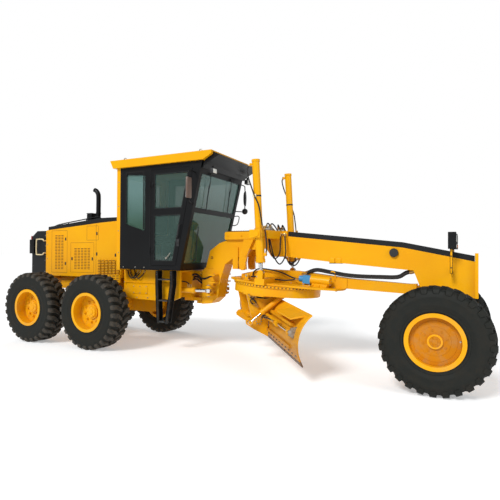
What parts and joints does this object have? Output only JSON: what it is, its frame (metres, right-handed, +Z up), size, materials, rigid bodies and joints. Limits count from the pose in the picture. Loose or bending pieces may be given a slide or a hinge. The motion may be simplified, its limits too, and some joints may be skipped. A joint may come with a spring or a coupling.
{
  "type": "articulated motor grader",
  "caption": "Articulated motor grader with a tandem rear drive, closed cab, arched front frame and a curved blade carried by a turning circle.",
  "frame": {"origin": "on the ground below the middle of the machine, midway along its length and width", "axes": "+X forward along the machine, +Y to its left, +Z up"},
  "size_m": [8.724, 3.262, 3.445],
  "materials": {
    "black_paint": "satin",
    "black_plastic": "matte",
    "blue_paint": "gloss",
    "chrome_rod": "polished",
    "engine_iron": "matte",
    "grey_paint": "satin",
    "seat_fabric": "matte",
    "steel": "satin",
    "tinted_glass": "gloss",
    "tyre_rubber": "matte",
    "yellow_paint": "gloss"
  },
  "bodies": {
    "rear_chassis": {"rear_frame": "yellow_paint", "tandem_drive": "yellow_paint", "engine_hood": "yellow_paint", "hood_cover": "grey_paint", "radiator_guard": "black_paint", "engine": "engine_iron", "exhaust_stack": "black_paint", "cab_frame": "black_paint", "cab_rear_wall": "yellow_paint", "cab_roof": "yellow_paint", "cab_visor": "black_paint", "cab_glass": "tinted_glass", "cab_mirrors": "black_plastic", "seat_frame": "black_paint", "seat_cushions": "seat_fabric", "control_console": "black_plastic", "access_ladders": "grey_paint"},
    "front_body": {"front_frame": "yellow_paint", "frame_cover": "grey_paint", "lift_saddle": "yellow_paint", "front_axle": "yellow_paint", "headlamps": "black_plastic"},
    "drawbar_body": {"drawbar": "yellow_paint", "circle_motor": "blue_paint"},
    "circle_body": {"circle": "yellow_paint"},
    "blade_tilt": {"blade_bracket": "yellow_paint"},
    "blade": {"moldboard": "yellow_paint", "cutting_edge": "steel", "shift_rod": "chrome_rod"},
    "tip_barrel": {"tip_barrel": "yellow_paint"},
    "tip_rod": {"tip_rod": "chrome_rod"},
    "lean_bar": {"lean_bar": "black_paint"},
    "tie_rod_end": {"tie_rod_end": "black_paint"},
    "tie_rod": {"tie_rod": "black_paint"},
    "artic_barrel_left": {"artic_barrel_left": "yellow_paint"},
    "artic_rod_left": {"artic_rod_left": "chrome_rod"},
    "lift_barrel_left": {"lift_barrel_left": "yellow_paint"},
    "lift_rod_left": {"lift_rod_left": "chrome_rod"},
    "lean_bracket_left": {"lean_bracket_left": "yellow_paint"},
    "knuckle_left": {"knuckle_left": "yellow_paint"},
    "door_left": {"cab_door_left": "black_paint"},
    "artic_barrel_right": {"artic_barrel_right": "yellow_paint"},
    "artic_rod_right": {"artic_rod_right": "chrome_rod"},
    "lift_barrel_right": {"lift_barrel_right": "yellow_paint"},
    "lift_rod_right": {"lift_rod_right": "chrome_rod"},
    "lean_bracket_right": {"lean_bracket_right": "yellow_paint"},
    "knuckle_right": {"knuckle_right": "yellow_paint"},
    "door_right": {"cab_door_right": "black_paint"},
    "wheel_rear_left": {"rim_rear_left": "yellow_paint", "tyre_rear_left": "tyre_rubber"},
    "wheel_rear_right": {"rim_rear_right": "yellow_paint", "tyre_rear_right": "tyre_rubber"},
    "wheel_middle_left": {"rim_middle_left": "yellow_paint", "tyre_middle_left": "tyre_rubber"},
    "wheel_middle_right": {"rim_middle_right": "yellow_paint", "tyre_middle_right": "tyre_rubber"},
    "wheel_front_left": {"rim_front_left": "yellow_paint", "tyre_front_left": "tyre_rubber"},
    "wheel_front_right": {"rim_front_right": "yellow_paint", "tyre_front_right": "tyre_rubber"}
  },
  "joints": [
    {"name": "articulation", "type": "hinge", "parent": "rear_chassis", "child": "front_body", "pos_m": [-0.362, 0, 1.35], "axis": [0, 0, -1], "range_deg": [-25, 25]},
    {"name": "artic_barrel_left_swing", "type": "hinge", "parent": "rear_chassis", "child": "artic_barrel_left", "pos_m": [-1.012, 0.4, 1.08], "axis": [0, 0, 1], "range_deg": [-8.18, 8.18]},
    {"name": "artic_rod_left_slide", "type": "slide", "parent": "artic_barrel_left", "child": "artic_rod_left", "axis": [0.9975, -0.0705, 0], "range_m": [-0.15422, 0.15422]},
    {"name": "artic_barrel_right_swing", "type": "hinge", "parent": "rear_chassis", "child": "artic_barrel_right", "pos_m": [-1.012, -0.4, 1.08], "axis": [0, 0, 1], "range_deg": [-8.18, 8.18]},
    {"name": "artic_rod_right_slide", "type": "slide", "parent": "artic_barrel_right", "child": "artic_rod_right", "axis": [0.9975, 0.0705, 0], "range_m": [-0.15422, 0.15422]},
    {"name": "drawbar_lift", "type": "hinge", "parent": "front_body", "child": "drawbar_body", "pos_m": [3.348, 0, 1.24], "axis": [0, 1, 0], "range_deg": [-13, 2]},
    {"name": "lift_barrel_left_swing", "type": "hinge", "parent": "front_body", "child": "lift_barrel_left", "pos_m": [1.125, 0.72, 2.05], "axis": [0, -1, 0], "range_deg": [-1.65, 0.34]},
    {"name": "lift_rod_left_slide", "type": "slide", "parent": "lift_barrel_left", "child": "lift_rod_left", "axis": [0.0586, 0, -0.9983], "range_m": [-0.0774, 0.49762]},
    {"name": "lift_barrel_right_swing", "type": "hinge", "parent": "front_body", "child": "lift_barrel_right", "pos_m": [1.125, -0.72, 2.05], "axis": [0, -1, 0], "range_deg": [-1.65, 0.34]},
    {"name": "lift_rod_right_slide", "type": "slide", "parent": "lift_barrel_right", "child": "lift_rod_right", "axis": [0.0586, 0, -0.9983], "range_m": [-0.0774, 0.49762]},
    {"name": "circle_turn", "type": "hinge", "parent": "drawbar_body", "child": "circle_body", "pos_m": [1.15233, 0, 1.19353], "axis": [0.075, 0, 0.9972], "range_deg": [-90, 0]},
    {"name": "blade_tip", "type": "hinge", "parent": "circle_body", "child": "blade_tilt", "pos_m": [0.79539, -0.2435, 0.67885], "axis": [-0.607, 0.7934, 0.0457], "range_deg": [0, 35]},
    {"name": "tip_barrel_swing", "type": "hinge", "parent": "circle_body", "child": "tip_barrel", "pos_m": [1.45208, -0.43966, 1.10079], "axis": [-0.607, 0.7934, 0.0457], "range_deg": [-0.1, 5.21]},
    {"name": "tip_rod_slide", "type": "slide", "parent": "tip_barrel", "child": "tip_rod", "axis": [-0.6389, -0.4531, -0.6216], "range_m": [-0.07587, 0.001]},
    {"name": "blade_shift", "type": "slide", "parent": "blade_tilt", "child": "blade", "axis": [0.607, -0.7934, -0.0457], "range_m": [-0.5, 0.5]},
    {"name": "wheel_lean_left", "type": "hinge", "parent": "front_body", "child": "lean_bracket_left", "pos_m": [3.688, 0.8, 0.524], "axis": [1, 0, 0], "range_deg": [-17, 17]},
    {"name": "steer_left", "type": "hinge", "parent": "lean_bracket_left", "child": "knuckle_left", "pos_m": [3.688, 0.8, 0.674], "axis": [0, 0, -1], "range_deg": [-45, 45]},
    {"name": "wheel_lean_right", "type": "hinge", "parent": "front_body", "child": "lean_bracket_right", "pos_m": [3.688, -0.8, 0.524], "axis": [1, 0, 0], "range_deg": [-17, 17]},
    {"name": "steer_right", "type": "hinge", "parent": "lean_bracket_right", "child": "knuckle_right", "pos_m": [3.688, -0.8, 0.674], "axis": [0, 0, -1], "range_deg": [-45, 45]},
    {"name": "lean_bar_pin", "type": "hinge", "parent": "lean_bracket_left", "child": "lean_bar", "pos_m": [3.788, 0.8, 0.8], "axis": [1, 0, 0], "range_deg": [-17, 17]},
    {"name": "tie_rod_end_turn", "type": "hinge", "parent": "knuckle_left", "child": "tie_rod_end", "pos_m": [3.498, 0.8, 0.83], "axis": [0, 0, -1], "range_deg": [-45, 45]},
    {"name": "tie_rod_level", "type": "hinge", "parent": "tie_rod_end", "child": "tie_rod", "pos_m": [3.498, 0.8, 0.83], "axis": [1, 0, 0], "range_deg": [-17, 17]},
    {"name": "wheel_rear_left_roll", "type": "hinge", "parent": "rear_chassis", "child": "wheel_rear_left", "pos_m": [-3.532, 1.0775, 0.674], "axis": [0, 1, 0], "continuous": true},
    {"name": "wheel_rear_right_roll", "type": "hinge", "parent": "rear_chassis", "child": "wheel_rear_right", "pos_m": [-3.532, -1.0775, 0.674], "axis": [0, 1, 0], "continuous": true},
    {"name": "wheel_middle_left_roll", "type": "hinge", "parent": "rear_chassis", "child": "wheel_middle_left", "pos_m": [-1.992, 1.0775, 0.674], "axis": [0, 1, 0], "continuous": true},
    {"name": "wheel_middle_right_roll", "type": "hinge", "parent": "rear_chassis", "child": "wheel_middle_right", "pos_m": [-1.992, -1.0775, 0.674], "axis": [0, 1, 0], "continuous": true},
    {"name": "wheel_front_left_roll", "type": "hinge", "parent": "knuckle_left", "child": "wheel_front_left", "pos_m": [3.688, 1.04, 0.674], "axis": [0, 1, 0], "continuous": true},
    {"name": "wheel_front_right_roll", "type": "hinge", "parent": "knuckle_right", "child": "wheel_front_right", "pos_m": [3.688, -1.04, 0.674], "axis": [0, 1, 0], "continuous": true},
    {"name": "door_left_hinge", "type": "hinge", "parent": "rear_chassis", "child": "door_left", "pos_m": [-0.967, 0.794, 1.77], "axis": [0, 0, 1], "range_deg": [0, 85]},
    {"name": "door_right_hinge", "type": "hinge", "parent": "rear_chassis", "child": "door_right", "pos_m": [-0.967, -0.794, 1.77], "axis": [0, 0, -1], "range_deg": [0, 85]}
  ],
  "couplings": [
    {"joint": "artic_barrel_left_swing", "follows": "articulation", "ratio": -0.319},
    {"joint": "artic_rod_left_slide", "follows": "articulation", "m_per_rad": 0.35115},
    {"joint": "artic_barrel_right_swing", "follows": "articulation", "ratio": -0.319},
    {"joint": "artic_rod_right_slide", "follows": "articulation", "m_per_rad": -0.35115},
    {"joint": "lift_barrel_left_swing", "follows": "drawbar_lift", "ratio": 0.11911},
    {"joint": "lift_rod_left_slide", "follows": "drawbar_lift", "m_per_rad": -2.1888},
    {"joint": "lift_barrel_right_swing", "follows": "drawbar_lift", "ratio": 0.11911},
    {"joint": "lift_rod_right_slide", "follows": "drawbar_lift", "m_per_rad": -2.1888},
    {"joint": "tip_barrel_swing", "follows": "blade_tip", "ratio": 0.14589},
    {"joint": "tip_rod_slide", "follows": "blade_tip", "m_per_rad": -0.12257},
    {"joint": "wheel_lean_right", "follows": "wheel_lean_left", "ratio": 1},
    {"joint": "steer_right", "follows": "steer_left", "ratio": 1},
    {"joint": "lean_bar_pin", "follows": "wheel_lean_left", "ratio": -1},
    {"joint": "tie_rod_end_turn", "follows": "steer_left", "ratio": -1},
    {"joint": "tie_rod_level", "follows": "wheel_lean_left", "ratio": -1}
  ]
}
